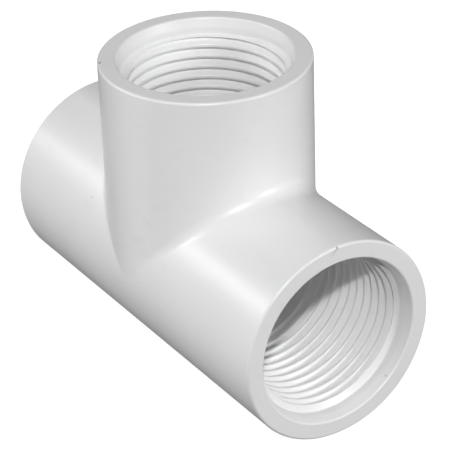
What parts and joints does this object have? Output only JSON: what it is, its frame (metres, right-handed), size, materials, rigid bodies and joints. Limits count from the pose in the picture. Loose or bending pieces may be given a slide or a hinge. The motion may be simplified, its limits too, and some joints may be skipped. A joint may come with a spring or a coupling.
{
  "type": "pvc tee fitting",
  "caption": "White rigid-plastic pipe tee: a straight run and a branch at right angles, all of one diameter, each mouth with a female tapered pipe thread.",
  "frame": {"origin": "the point where the axis of the run crosses the axis of the branch, inside the waterway", "axes": "+X along the run towards its front mouth, +Z along the branch towards its mouth, +Y across both, to the left of +X seen from above"},
  "size_m": [0.0848, 0.041, 0.0629],
  "materials": {
    "white_pvc": "satin moulded rigid PVC"
  },
  "bodies": {
    "root": {"centre_body": "white_pvc", "run_socket_front": "white_pvc", "run_socket_rear": "white_pvc", "branch_socket": "white_pvc"}
  },
  "joints": []
}
